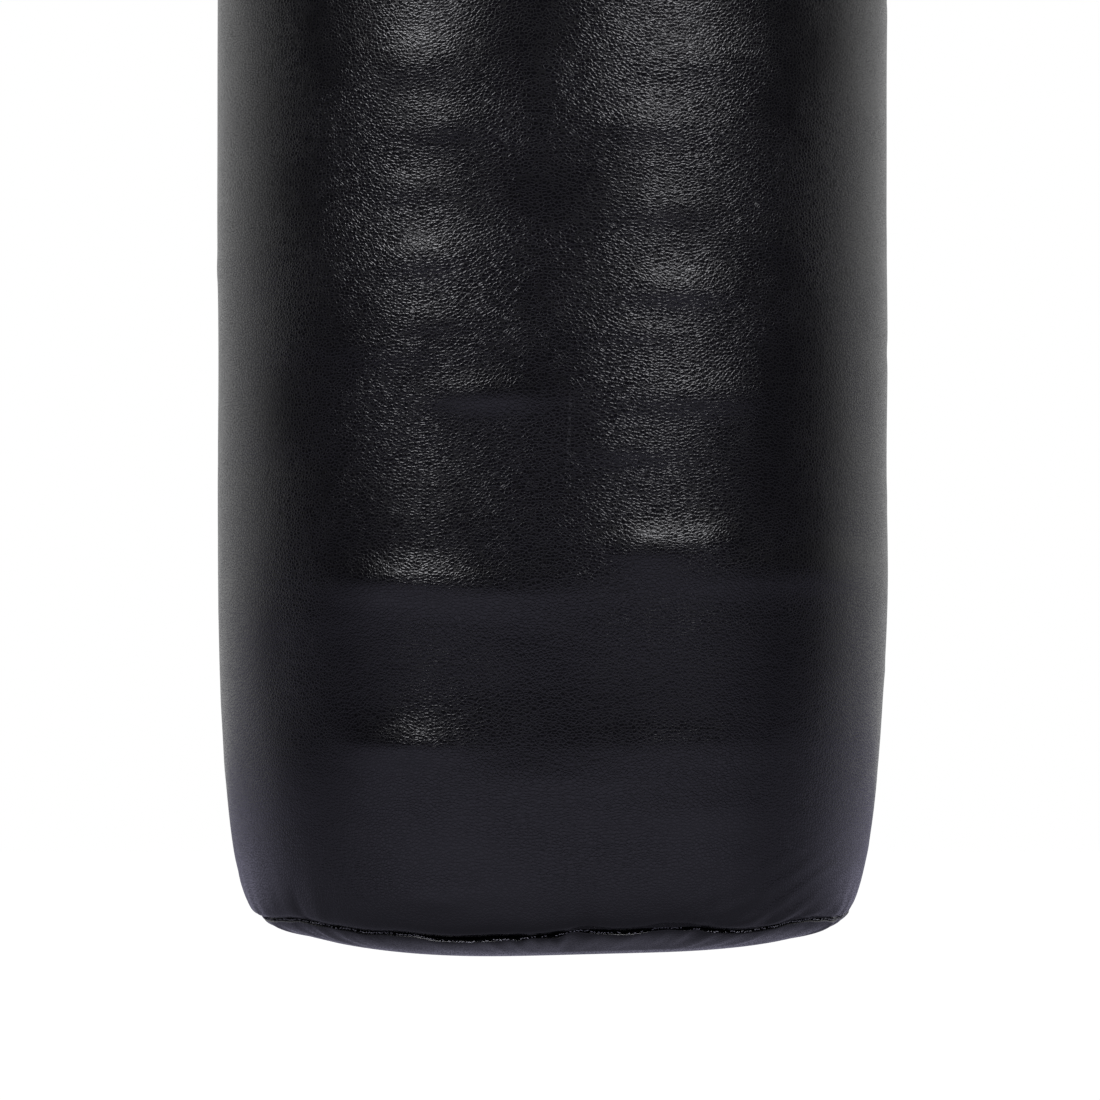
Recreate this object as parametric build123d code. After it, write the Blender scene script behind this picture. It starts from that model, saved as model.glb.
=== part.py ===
"""Hanging heavy punching bag: snap hook, ball-bearing swivel, ring, four chains and clips, sewn bag.

The origin is the seat inside the crown of the top snap hook, where a bar or an eye carries it.
Z is up, the zip runs along X, and the hook, the ring and the zip share the XZ plane.
"""

import os
from math import asin, atan, cos, degrees, hypot, radians, sin, sqrt, tan

from build123d import *

# Bag
bag_radius = 175.0
seam_to_seam = 1000.0
wall = 2.0
lining_thickness = 1.0
foam_thickness = 18.0
bottom_taper = 21.0
bottom_shoulder = 190.0
bottom_bulge = 21.0
top_taper = 15.0
top_shoulder = 120.0
seam_allowance = 13.0
bottom_pad_height = 30.0
top_pad_height = 22.0
top_pad_clearance = 5.0
back_strip_width = 26.0

# Zip
zip_end_margin = 25.0
coil_width = 3.0
coil_height = 2.4
coil_gap = 1.6
tape_width = 15.0
tape_thickness = 0.8
slider_length = 14.0
slider_plate = 1.2
slider_web = 1.0
slider_clearance = 0.3
pull_length = 30.0
pull_width = 8.0
pull_thickness = 1.5

# Straps and D-rings
strap_width = 40.0
webbing = 2.5
strap_sewn_length = 300.0
strap_lean = 30.0
strap_free_length = 26.0
strap_azimuths = {"back_right": 45.0, "back_left": 135.0, "front_left": 225.0, "front_right": 315.0}
rivet_radius = 2.5
rivet_head_radius = 5.5
rivet_head = 2.0
rivet_angle = 4.0
rivet_drops = (165.0, 262.0)
washer_radius = 7.0
washer_thickness = 1.2
d_ring_wire = 5.5
d_ring_width = strap_width + 4.0
d_ring_height = 30.0
strap_edge_gap = 0.35
sewn_gap = 0.1

# Chains and clips
link_wire = 5.0
link_length = 28.0
link_width = 11.0
link_count = 8
clip_wire = 6.0
clip_length = 46.0
clip_width = 13.0

# Ring, swivel and snap hook
ring_wire = 8.0
ring_inner_radius = 30.0
inner_chain_x = 6.0
outer_chain_x = 16.5
eye_wire = 8.0
eye_inner_radius = 12.0
shaft_radius = 5.0
housing_radius = 16.0
housing_length = 32.0
housing_floor = 5.0
housing_bore = 12.0
cap_thickness = 6.0
spigot_length = 6.0
race_thickness = 3.0
ball_radius = 2.5
ball_count = 9
groove_depth = 0.9
nut_height = 7.0
nut_flats = 17.0
collar_radius = 9.0
collar_thickness = 4.0
hook_wire = 10.0
hook_length = 80.0
hook_width = 30.0

# Clearances
hanging_gap = 0.3
running_clearance = 0.3
ball_clearance = 0.15
collar_clearance = 1.0
nose_clearance = 0.6

bottom_seam_radius = bag_radius - bottom_taper
top_seam_radius = bag_radius - top_taper
zip_length = 2 * (top_seam_radius - zip_end_margin)

os.makedirs("parts", exist_ok=True)


def save(shape, name):
    export_step(shape, f"parts/{name}.step")


def rod(radius, length, start=(0, 0, 0), direction=(0, 0, 1)):
    """A round bar from start along direction."""
    bar = Cylinder(radius, length, align=(Align.CENTER, Align.CENTER, Align.MIN))
    return Plane(start, z_dir=direction) * bar


def block(x, y, z):
    """A box between pairs of coordinates."""
    size = (x[1] - x[0], y[1] - y[0], z[1] - z[0])
    middle = ((x[0] + x[1]) / 2, (y[0] + y[1]) / 2, (z[0] + z[1]) / 2)
    return Pos(*middle) * Box(*size)


def ring(wire, inner_radius):
    """A round wire ring about Z."""
    return Torus(inner_radius + wire / 2, wire / 2)


def wire_sweep(path, wire):
    """A round wire along a path."""
    return sweep(Plane(path @ 0, z_dir=path % 0) * Circle(wire / 2), path)


def coil_spring(radius, wire, length, turns):
    path = Helix(length / turns, length, radius)
    return sweep(Plane(path @ 0, z_dir=path % 0) * Circle(wire / 2), path, is_frenet=True)


# ---- Snap hook: one shape for the top hook and the four clips ----
# The crown's seat is the origin, the wire loop lies in XZ and hangs down, and the gate is on +X.
# The gate is hinged at its lower end and opens inwards.


class SnapHook:
    def __init__(self, wire, inner_length, inner_width):
        half = (inner_width + wire) / 2
        crown_z = wire / 2 - half
        foot_z = half - wire / 2 - inner_length
        gate_radius = 0.45 * wire
        tang_radius = 0.34 * wire
        tang_half = 0.2 * wire
        pin_radius = 0.15 * wire
        tongue_length = 0.8 * wire
        nose_z = crown_z - 0.3 * wire
        shoulder_z = foot_z + 0.15 * wire
        self.pivot = Vector(half, 0, shoulder_z + nose_clearance + gate_radius)
        pivot_z = self.pivot.Z
        gate_top = nose_z - nose_clearance
        fork_top = pivot_z + tang_radius + nose_clearance
        cheek = tang_half + running_clearance

        loop = Curve() + [
            Line((half, 0, nose_z), (half, 0, crown_z)),
            ThreePointArc((half, 0, crown_z), (0, 0, wire / 2), (-half, 0, crown_z)),
            Line((-half, 0, crown_z), (-half, 0, foot_z)),
            ThreePointArc((-half, 0, foot_z), (0, 0, -inner_length - wire / 2), (half, 0, foot_z)),
            Line((half, 0, foot_z), (half, 0, shoulder_z)),
        ]
        body = wire_sweep(Wire(loop.edges()), wire)
        tongue = block((half - 0.25 * wire, half + 0.42 * wire), (-tang_half, tang_half),
                       (nose_z - tongue_length, nose_z))
        tang_x = (half - tang_radius, half + tang_radius)
        tang = block(tang_x, (-tang_half, tang_half), (shoulder_z, pivot_z))
        across = Pos(half, 0, pivot_z) * Rot(90, 0, 0)
        tang_end = across * Cylinder(tang_radius, 2 * tang_half)
        tang_hole = across * Cylinder(pin_radius + running_clearance / 3, wire)
        self.body = body + tongue + tang + tang_end - tang_hole

        gate = rod(gate_radius, gate_top - pivot_z, (half, 0, pivot_z))
        gate += Pos(half, 0, pivot_z) * Sphere(gate_radius)
        fork_slot = block((half - wire, half + wire), (-cheek, cheek), (pivot_z - wire, fork_top))
        tongue_slot = block((half - 0.25 * wire - running_clearance, half + wire), (-cheek, cheek),
                            (nose_z - tongue_length - nose_clearance, gate_top + 1))
        spring_bore = rod(0.24 * wire, 1.3 * wire, (half, 0, fork_top - 0.1))
        pin_hole = across * Cylinder(pin_radius, wire)
        self.gate = gate - fork_slot - tongue_slot - spring_bore - pin_hole
        self.pin = across * Cylinder(pin_radius, 1.64 * gate_radius)
        spring = coil_spring(0.16 * wire, 0.08 * wire, 1.1 * wire, 6)
        self.spring = Pos(half, 0, fork_top + 0.05 * wire) * spring

    def save(self, name, location=Location()):
        save(location * self.body, f"{name}_body")
        save(location * self.gate, f"{name}_gate")
        save(location * self.pin, f"{name}_gate_pin")
        save(location * self.spring, f"{name}_gate_spring")


top_hook = SnapHook(hook_wire, hook_length, hook_width)
clip = SnapHook(clip_wire, clip_length, clip_width)
top_hook.save("snap_hook")

# ---- Swivel: the upper eye hangs on the hook, the lower eye turns on a ball thrust bearing ----

hook_foot_z = -hook_length - hook_wire / 2
upper_eye_top_z = hook_foot_z + (hook_wire + eye_wire) / 2 + hanging_gap
eye_mean_radius = eye_inner_radius + eye_wire / 2
upper_eye_z = upper_eye_top_z - eye_mean_radius
cap_top_z = upper_eye_z - eye_mean_radius
housing_top_z = cap_top_z - cap_thickness
housing_foot_z = housing_top_z - housing_length
floor_z = housing_foot_z + housing_floor

upper_eye = Pos(0, 0, upper_eye_z) * Rot(0, 90, 0) * ring(eye_wire, eye_inner_radius)
cap = rod(housing_radius, cap_thickness, (0, 0, housing_top_z))
cap = chamfer(cap.edges().group_by(Axis.Z)[-1], 1.5)
spigot = rod(housing_bore, spigot_length, (0, 0, housing_top_z - spigot_length))
save(upper_eye + cap + spigot, "swivel_top_eye")

housing = rod(housing_radius, housing_length, (0, 0, housing_foot_z))
housing = chamfer(housing.edges().group_by(Axis.Z)[0], 2.0)
housing -= rod(housing_bore, housing_length, (0, 0, floor_z))
housing -= rod(shaft_radius + running_clearance, housing_length, (0, 0, housing_foot_z - 1))
save(housing, "swivel_housing")

ball_circle = (shaft_radius + housing_bore) / 2
ball_z = floor_z + race_thickness + ball_radius + ball_clearance - groove_depth
upper_race_z = ball_z + ball_radius + ball_clearance - groove_depth
groove = Pos(0, 0, ball_z) * Torus(ball_circle, ball_radius + ball_clearance)
race_outside = housing_bore - running_clearance
lower_race = rod(housing_bore, race_thickness, (0, 0, floor_z))
lower_race -= rod(shaft_radius + 2 * running_clearance, 2 * race_thickness, (0, 0, floor_z - 1))
save(lower_race - groove, "swivel_bearing_lower_race")
upper_race = rod(race_outside, race_thickness, (0, 0, upper_race_z))
upper_race -= rod(shaft_radius, 2 * race_thickness, (0, 0, upper_race_z - 1))
save(upper_race - groove, "swivel_bearing_upper_race")
ball = Pos(ball_circle, 0, ball_z) * Sphere(ball_radius)
balls = [Rot(0, 0, 360 * i / ball_count) * ball for i in range(ball_count)]
save(Compound(children=balls), "swivel_bearing_balls")

nut_z = upper_race_z + race_thickness
nut = Pos(0, 0, nut_z) * extrude(RegularPolygon(nut_flats / 2, 6, major_radius=False), nut_height)
save(nut - rod(shaft_radius, 2 * nut_height, (0, 0, nut_z - 1)), "swivel_nut")

collar_foot_z = housing_foot_z - collar_clearance - collar_thickness
lower_eye_z = collar_foot_z - eye_inner_radius - 0.75 * eye_wire
shaft_top_z = nut_z + nut_height + 1.0
lower_eye = Pos(0, 0, lower_eye_z) * Rot(0, 90, 0) * ring(eye_wire, eye_inner_radius)
collar = rod(collar_radius, collar_thickness, (0, 0, collar_foot_z))
neck_align = (Align.CENTER, Align.CENTER, Align.MAX)
neck = Pos(0, 0, collar_foot_z) * Cone(shaft_radius - 1, collar_radius, 3.0, align=neck_align)
shaft = rod(shaft_radius, shaft_top_z - collar_foot_z, (0, 0, collar_foot_z))
save(shaft + collar + neck + lower_eye, "swivel_shaft_eye")

# ---- Master ring ----

lower_eye_foot_z = lower_eye_z - eye_mean_radius
ring_mean_radius = ring_inner_radius + ring_wire / 2
ring_z = lower_eye_foot_z + (eye_wire + ring_wire) / 2 + hanging_gap - ring_mean_radius
save(Pos(0, 0, ring_z) * Rot(90, 0, 0) * ring(ring_wire, ring_inner_radius), "master_ring")

# ---- Strap line and the bag's height ----
# A strap follows the top shoulder's ellipse as far as the point where it leans as the free end does.

strap_thickness = 2 * webbing
strap_middle = sewn_gap + strap_thickness / 2
shoulder_a = bag_radius - top_seam_radius + strap_middle
shoulder_b = top_shoulder + strap_middle
leave_angle = atan(tan(radians(strap_lean)) * shoulder_b / shoulder_a)
leave_radius = top_seam_radius + shoulder_a * cos(leave_angle)
leave_drop = top_shoulder - shoulder_b * sin(leave_angle)
strap_direction = Vector(-sin(radians(strap_lean)), 0, cos(radians(strap_lean)))
bar_radius = leave_radius - strap_free_length * sin(radians(strap_lean))
bar_rise = strap_free_length * cos(radians(strap_lean)) - leave_drop

ring_angle = {x: asin(x / ring_mean_radius) for x in (inner_chain_x, outer_chain_x)}
chain_x = {
    "back_right": inner_chain_x,
    "back_left": -outer_chain_x,
    "front_left": -inner_chain_x,
    "front_right": outer_chain_x,
}


def chain_seat(name):
    """The middle of the ring's wire where a chain hangs."""
    x = chain_x[name]
    return Vector(x, 0, ring_z - ring_mean_radius * cos(ring_angle[abs(x)]))


link_step = link_length - hanging_gap / 2
chain_start = -(ring_wire + link_wire) / 2 - hanging_gap
last_link_foot = chain_start + link_length + link_wire + (link_count - 1) * link_step
clip_chain_end = last_link_foot - (link_wire + clip_wire) / 2 - hanging_gap
clip_ring_end = clip_chain_end + clip_length + clip_wire
d_ring_top = clip_ring_end - (clip_wire + d_ring_wire) / 2 - hanging_gap
hanging_length = d_ring_top + d_ring_height + d_ring_wire

azimuth = radians(strap_azimuths["back_right"])
seat = chain_seat("back_right")
across = hypot(bar_radius * cos(azimuth) - seat.X, bar_radius * sin(azimuth) - seat.Y)
bar_z = seat.Z - sqrt(hanging_length**2 - across**2)
top_z = bar_z - bar_rise
bottom_z = top_z - seam_to_seam

# ---- Chains, clips, D-rings and straps ----


def link():
    """A chain link about the origin, long along X, in the XY plane."""
    half_run = (link_length - link_width) / 2
    mean = (link_width + link_wire) / 2
    outline = Curve() + [
        Line((-half_run, mean), (half_run, mean)),
        ThreePointArc((half_run, mean), (half_run + mean, 0), (half_run, -mean)),
        Line((half_run, -mean), (-half_run, -mean)),
        ThreePointArc((-half_run, -mean), (-half_run - mean, 0), (-half_run, mean)),
    ]
    return wire_sweep(Wire(outline.edges()), link_wire)


def d_ring():
    """A D-ring with its bar's middle at the origin along X, and its round side up +Y."""
    half = (d_ring_width + d_ring_wire) / 2
    leg = d_ring_height + d_ring_wire - half
    r = half - strap_width / 2 - strap_edge_gap
    s = r * (1 - sqrt(0.5))
    outline = Curve() + [
        Line((-half + r, 0), (half - r, 0)),
        ThreePointArc((half - r, 0), (half - s, s), (half, r)),
        Line((half, r), (half, leg)),
        ThreePointArc((half, leg), (0, leg + half), (-half, leg)),
        Line((-half, leg), (-half, r)),
        ThreePointArc((-half, r), (-half + s, s), (-half + r, 0)),
    ]
    return wire_sweep(Wire(outline.edges()), d_ring_wire)


def bag_profile(inset):
    """The bag's half outline between its seams, brought in by inset, in the XZ plane."""
    lower = bottom_z + bottom_shoulder
    upper = top_z - top_shoulder
    side = bag_radius - inset
    outline = Curve() + [
        Line((0, bottom_z + inset), (bottom_seam_radius, bottom_z + inset)),
        EllipticalCenterArc((bottom_seam_radius, lower), side - bottom_seam_radius, bottom_shoulder - inset,
                            start_angle=-90, arc_size=90),
        Line((side, lower), (side, upper)),
        EllipticalCenterArc((top_seam_radius, upper), side - top_seam_radius, top_shoulder - inset,
                            start_angle=0, arc_size=90),
        Line((top_seam_radius, top_z - inset), (0, top_z - inset)),
        Line((0, top_z - inset), (0, bottom_z + inset)),
    ]
    return Plane.XZ * make_face(outline)


def bag_form(inset):
    """The solid between the seams, brought in by inset."""
    return revolve(bag_profile(inset), Axis.Z)


def bulge_form(inset):
    """The bottom's downward bulge below the seam, brought in by inset."""
    radius = bottom_seam_radius - inset
    depth = bottom_bulge - inset
    outline = Curve() + [
        EllipticalCenterArc((0, bottom_z), radius, depth, start_angle=-90, arc_size=90),
        Line((radius, bottom_z), (0, bottom_z)),
        Line((0, bottom_z), (0, bottom_z - depth)),
    ]
    return revolve(Plane.XZ * make_face(outline), Axis.Z)


def slab(radius, low, high):
    return rod(radius, high - low, (0, 0, low))


strap_bed = bag_form(-sewn_gap)
straps_outer = bag_form(-sewn_gap - strap_thickness) - strap_bed
panel_room = slab(top_seam_radius + sewn_gap, top_z, top_z + wall + sewn_gap)
far = 3 * bag_radius
link_shape = link()
d_ring_shape = d_ring()
loop_inner = d_ring_wire / 2 + hanging_gap
loop_outer = loop_inner + webbing

rivet_axes = []
for name, angle in strap_azimuths.items():
    for side in (-rivet_angle, rivet_angle):
        for drop in rivet_drops:
            rivet_axes.append(Pos(0, 0, top_z - drop) * Rot(0, 0, angle + side) * Rot(0, 90, 0))


def rivet_bars(radius, inner, outer):
    """One bar at each rivet, between two distances from the bag's axis."""
    bar = rod(radius, outer - inner, (0, 0, inner))
    return [axis * bar for axis in rivet_axes]


shanks = rivet_bars(rivet_radius, bag_radius / 2, 2 * bag_radius)
clip_gate_axes = {}
for name, angle in strap_azimuths.items():
    turn = Rot(0, 0, angle)
    sideways = Vector(0, 1, 0).rotate(Axis.Z, angle)
    outwards = Vector(1, 0, 0).rotate(Axis.Z, angle)
    bar = outwards * bar_radius + Vector(0, 0, bar_z)
    seat = chain_seat(name)
    down = (bar - seat).normalized()

    # The first link lies across the ring's wire, and the last across the clip's.
    ring_turn = ring_angle[abs(chain_x[name])]
    along_wire = Vector(cos(ring_turn), 0, sin(ring_turn) * (1 if chain_x[name] > 0 else -1))
    first_normal = (along_wire - down * along_wire.dot(down)).normalized()
    last_normal = down.cross(sideways).normalized()
    quarter_turns = 90 * (link_count - 1)
    turned = first_normal.rotate(Axis((0, 0, 0), down), quarter_turns)
    spare = degrees(atan(turned.cross(last_normal).dot(down) / turned.dot(last_normal)))
    slack = (bar - seat).length - hanging_length
    step = link_step + slack / link_count
    links = []
    for i in range(link_count):
        middle = seat + down * (chain_start + (link_length + link_wire) / 2 + i * step)
        normal = first_normal.rotate(Axis((0, 0, 0), down), (90 + spare / (link_count - 1)) * i)
        links.append(Plane(middle, x_dir=down, z_dir=normal).location * link_shape)
    save(Compound(children=links), f"chain_{name}")

    clip_side = (sideways.cross(down)).normalized()
    clip_seat = seat + down * (clip_ring_end - clip_wire / 2 + slack)
    clip_place = Plane(clip_seat, x_dir=clip_side, z_dir=down).location
    clip.save(f"clip_{name}", clip_place)
    pivot = (clip_place * Pos(*clip.pivot)).position
    clip_gate_axes[name] = (tuple(pivot), tuple((clip_place * Pos(0, -1, 0)).position - clip_place.position))

    d_ring_place = Plane(bar, x_dir=sideways, z_dir=sideways.cross(-down)).location
    save(d_ring_place * d_ring_shape, f"d_ring_{name}")

    # The strap: a band on the casing, a free end along the lean, and a loop round the D-ring's bar.
    leave = Vector(leave_radius, 0, top_z - leave_drop)
    lean_plane = Plane(leave, x_dir=(0, 1, 0), z_dir=strap_direction)
    above = lean_plane.location * Pos(0, 0, far / 2) * Box(far, far, far)
    band = straps_outer & block((bag_radius / 2, far), (-strap_width / 2, strap_width / 2),
                                (top_z - strap_sewn_length, top_z + strap_thickness))
    free = lean_plane.location * Pos(0, 0, (strap_free_length - webbing) / 2)
    free *= Box(strap_width, strap_thickness, strap_free_length + webbing)
    bar_here = Pos(bar_radius, 0, bar_z) * Rot(90, 0, 0)
    loop = bar_here * Cylinder(loop_outer, strap_width)
    strap = band - above + free + loop - bar_here * Cylinder(loop_inner, strap_width + 1)
    strap -= strap_bed + panel_room
    save(turn * strap - shanks, f"strap_{name}")

# ---- Casing, panels and filling ----

bag = bag_form(0)
inside_wall = bag_form(wall)
inside_lining = bag_form(wall + lining_thickness)
seam_inner_bottom = bottom_seam_radius - seam_allowance
seam_inner_top = top_seam_radius - seam_allowance
lining_foot = bottom_z + wall + lining_thickness
strap_inside = bag_radius - wall - lining_thickness

casing = bag - inside_wall
casing -= slab(bottom_seam_radius, bottom_z - 1, bottom_z + wall + 1)
casing -= slab(top_seam_radius, top_z - wall - 1, top_z + 1)
save(casing - shanks, "side_casing")
strip_low = bottom_z + bottom_shoulder
strip = bag_form(-wall) - bag
strip_half = back_strip_width / 2
strip &= block((-strip_half, strip_half), (bag_radius / 2, far), (strip_low, top_z - top_shoulder))
save(strip, "side_back_seam")
save(bulge_form(0) - bulge_form(wall), "bottom_panel")
bottom_allowance = slab(bottom_seam_radius, bottom_z, bottom_z + wall)
save(bottom_allowance - slab(seam_inner_bottom, bottom_z - 1, bottom_z + wall + 1), "bottom_seam_allowance")
top_allowance = slab(top_seam_radius, top_z - wall, top_z)
save(top_allowance - slab(seam_inner_top, top_z - wall - 1, top_z + 1), "top_seam_allowance")

lining = inside_wall - inside_lining
lining -= slab(seam_inner_bottom, bottom_z, lining_foot + 1)
lining -= slab(seam_inner_top, top_z - wall - lining_thickness - 1, top_z)
save(lining - shanks, "lining")

fill_radius = strap_inside - foam_thickness
fill_low = lining_foot + bottom_pad_height
fill_high = top_z - wall - lining_thickness - top_pad_height
core = slab(fill_radius, fill_low, fill_high)
washer_outer = sqrt(strap_inside**2 - washer_radius**2)
washer_inner = washer_outer - washer_thickness
washer_pockets = rivet_bars(washer_radius + 0.5, washer_inner - 1.0, bag_radius)
foam = inside_lining & slab(bag_radius, fill_low, fill_high)
save(foam - core - washer_pockets, "foam_liner")
save(core, "textile_fill")
bottom_pad = inside_lining & slab(bag_radius, bottom_z, fill_low)
bottom_pad += slab(seam_inner_bottom, bottom_z, lining_foot)
save(bottom_pad + bulge_form(wall), "bottom_pad")
save(inside_lining & slab(bag_radius, fill_high, top_z - top_pad_clearance), "top_pad")

strap_outside = bag_radius + sewn_gap + strap_thickness
heads = rivet_bars(rivet_head_radius, strap_outside, strap_outside + rivet_head)
heads = [chamfer(head.edges().filter_by(GeomType.CIRCLE), rivet_head / 3) for head in heads]
stems = rivet_bars(rivet_radius, washer_inner, strap_outside)
save(Compound(children=[head + stem for head, stem in zip(heads, stems)]), "strap_rivets")
washers = rivet_bars(washer_radius, washer_inner, washer_outer)
washers = [washer - stem for washer, stem in zip(washers, stems)]
save(Compound(children=washers), "rivet_washers")

# ---- Top panel and zip ----

coil_outside = coil_gap / 2 + coil_width
slider_half = coil_outside + slider_clearance + 1.0
slot_half = slider_half + 2 * slider_clearance
slot = block((-zip_length / 2, zip_length / 2), (-slot_half, slot_half), (top_z - 1, top_z + wall + 1))
save(slab(top_seam_radius, top_z, top_z + wall) - slot, "top_panel")

tape_run = (-zip_length / 2 - 8, zip_length / 2 + 8)
coil_run = (-zip_length / 2 + 4, zip_length / 2 - 4)
tapes = []
coils = []
for side in (-1, 1):
    tape_y = sorted((side * coil_gap / 2, side * (coil_gap / 2 + tape_width)))
    coil_y = sorted((side * coil_gap / 2, side * coil_outside))
    tapes.append(block(tape_run, tape_y, (top_z - tape_thickness, top_z)))
    coil = block(coil_run, coil_y, (top_z, top_z + coil_height))
    coils.append(fillet(coil.edges().filter_by(Axis.X).group_by(Axis.Z)[-1], 0.9))
save(Compound(children=tapes), "zip_tapes")
save(Compound(children=coils), "zip_coils")

stop_length = 3.0
stops = []
for end in (-1, 1):
    stop_x = sorted((end * (zip_length / 2 - 4), end * (zip_length / 2 - 4 + stop_length)))
    stops.append(block(stop_x, (-coil_outside, coil_outside), (top_z, top_z + coil_height)))
save(Compound(children=stops), "zip_stops")

slider_start = -zip_length / 2 + 4 + slider_length / 2 + 1.0
slider_travel = -2 * slider_start
slider_x = (slider_start - slider_length / 2, slider_start + slider_length / 2)
tape_foot = top_z - tape_thickness - slider_clearance
plate_z = top_z + coil_height + slider_clearance
plate_top = plate_z + slider_plate
web_x = (slider_start - slider_length / 2, slider_start - slider_length / 6)
slider = block(slider_x, (-slider_half, slider_half), (plate_z, plate_top))
slider = fillet(slider.edges().filter_by(Axis.Z), 2.5)
lower_plate = block(slider_x, (-slider_half, slider_half), (tape_foot - slider_plate, tape_foot))
slider += fillet(lower_plate.edges().filter_by(Axis.Z), 2.5)
slider += block(web_x, (-slider_web / 2, slider_web / 2), (tape_foot, plate_z))
flange_x = (slider_x[0] + 2.5, slider_x[1] - 2.5)
for side in (-1, 1):
    flange_y = sorted((side * (slider_half - 1.0), side * slider_half))
    slider += block(flange_x, flange_y, (top_z + slider_clearance, plate_z))
bridge_half = 4.0
bridge_width = 3.0
bridge_bar = 1.3
crossbar_radius = 0.8
bridge_inside = 2 * (crossbar_radius + slider_clearance)
bridge_x = (slider_start - bridge_half, slider_start + bridge_half)
bridge_top = plate_top + bridge_inside + bridge_bar
bridge = block(bridge_x, (-bridge_width / 2, bridge_width / 2), (plate_top, bridge_top))
bridge = fillet(bridge.edges().filter_by(Axis.Y).group_by(Axis.Z)[-1], 1.2)
bridge_hole_x = (bridge_x[0] + bridge_bar, bridge_x[1] - bridge_bar)
bridge -= block(bridge_hole_x, (-bridge_width, bridge_width), (plate_top, plate_top + bridge_inside))
save(slider + bridge, "zip_slider")

pull_pivot = Vector(slider_start, 0, plate_top + crossbar_radius + slider_clearance)
arm_inner = bridge_width / 2 + slider_clearance
eye_half = bridge_half + crossbar_radius
pull_z = (pull_pivot.Z - crossbar_radius, pull_pivot.Z - crossbar_radius + pull_thickness)
pull = block((pull_pivot.X, pull_pivot.X + pull_length), (-pull_width / 2, pull_width / 2), pull_z)
pull = fillet(pull.edges().filter_by(Axis.Z).group_by(Axis.X)[-1], pull_width / 2 - 0.5)
eye_x = (pull_pivot.X - 1, pull_pivot.X + eye_half + 1.0)
pull -= block(eye_x, (-arm_inner, arm_inner), (pull_z[0] - 1, pull_z[1] + 1))
crossbar = Pos(*pull_pivot) * Rot(90, 0, 0) * Cylinder(crossbar_radius, pull_width)
save(pull + crossbar, "zip_pull")

print("heights", {
    "hook_foot": hook_foot_z,
    "eye_foot": lower_eye_foot_z,
    "ring": ring_z,
    "top": top_z,
    "bottom": bottom_z,
})
print("zip slide", slider_start, slider_travel, "pull pivot", tuple(pull_pivot))
print("hook gate pivot", tuple(top_hook.pivot))
for name, (point, axis) in clip_gate_axes.items():
    print("clip gate", name, "pivot", [round(c, 3) for c in point], "axis", [round(c, 5) for c in axis])
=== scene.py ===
from math import atan, cos, hypot, pi, radians, sin, tan

import bpy
import numpy as np
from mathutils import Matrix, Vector


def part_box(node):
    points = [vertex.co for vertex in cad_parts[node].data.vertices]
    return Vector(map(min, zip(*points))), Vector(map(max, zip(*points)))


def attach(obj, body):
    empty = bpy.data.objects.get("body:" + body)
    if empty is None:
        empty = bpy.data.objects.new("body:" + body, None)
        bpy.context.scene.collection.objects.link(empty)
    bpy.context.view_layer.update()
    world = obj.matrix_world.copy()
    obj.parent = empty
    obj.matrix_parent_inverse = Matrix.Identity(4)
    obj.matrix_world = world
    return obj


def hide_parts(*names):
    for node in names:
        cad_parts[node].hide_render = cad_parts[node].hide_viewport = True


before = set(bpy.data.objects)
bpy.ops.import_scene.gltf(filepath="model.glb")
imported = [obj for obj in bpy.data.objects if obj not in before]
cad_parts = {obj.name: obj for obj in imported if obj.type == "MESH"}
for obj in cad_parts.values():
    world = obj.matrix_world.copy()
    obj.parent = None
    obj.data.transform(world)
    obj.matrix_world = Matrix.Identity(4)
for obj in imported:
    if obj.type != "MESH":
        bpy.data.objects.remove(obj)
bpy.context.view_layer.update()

print("frame loaded")

# Heights and radii come from the frame, so the visual pieces follow the CAD ones.
casingLow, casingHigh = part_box("side_casing")
panelLow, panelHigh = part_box("bottom_panel")
topLow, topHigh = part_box("top_panel")
bagRadius = (casingHigh[0] - casingLow[0]) / 2
seamRadius = (panelHigh[0] - panelLow[0]) / 2
topRadius = (topHigh[0] - topLow[0]) / 2
seamZ = casingLow[2]
topZ = casingHigh[2]
bulge = seamZ - panelLow[2]


def addMesh(name, verts, faces, smooth=True, weave=None):
    # weave holds, for each vertex, its place across and along a woven band.
    mesh = bpy.data.meshes.new(name)
    mesh.from_pydata([tuple(v) for v in verts], [], faces)
    if weave is not None:
        layer = mesh.attributes.new("weave", "FLOAT_VECTOR", "POINT")
        layer.data.foreach_set("vector", np.asarray(weave, dtype=np.float32).ravel())
    mesh.update()
    if smooth:
        mesh.polygons.foreach_set("use_smooth", [True] * len(mesh.polygons))
    piece = bpy.data.objects.new(name, mesh)
    bpy.context.scene.collection.objects.link(piece)
    return piece


def ringFaces(rows, columns, closed=True):
    # Quads between rows of a surface that goes all the way round; closed joins the last row to the first.
    count = rows if closed else rows - 1
    row = np.arange(count)[:, None] * columns
    nextRow = (np.arange(count)[:, None] + 1) % rows * columns
    column = np.arange(columns)[None, :]
    nextColumn = (column + 1) % columns
    quads = np.stack([row + column, row + nextColumn, nextRow + nextColumn, nextRow + column], axis=-1)
    return quads.reshape(-1, 4).tolist()


def around(columns):
    # Angles from the front, in degrees, positive to the right.
    return np.arange(columns) * 360 / columns - 180


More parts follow.
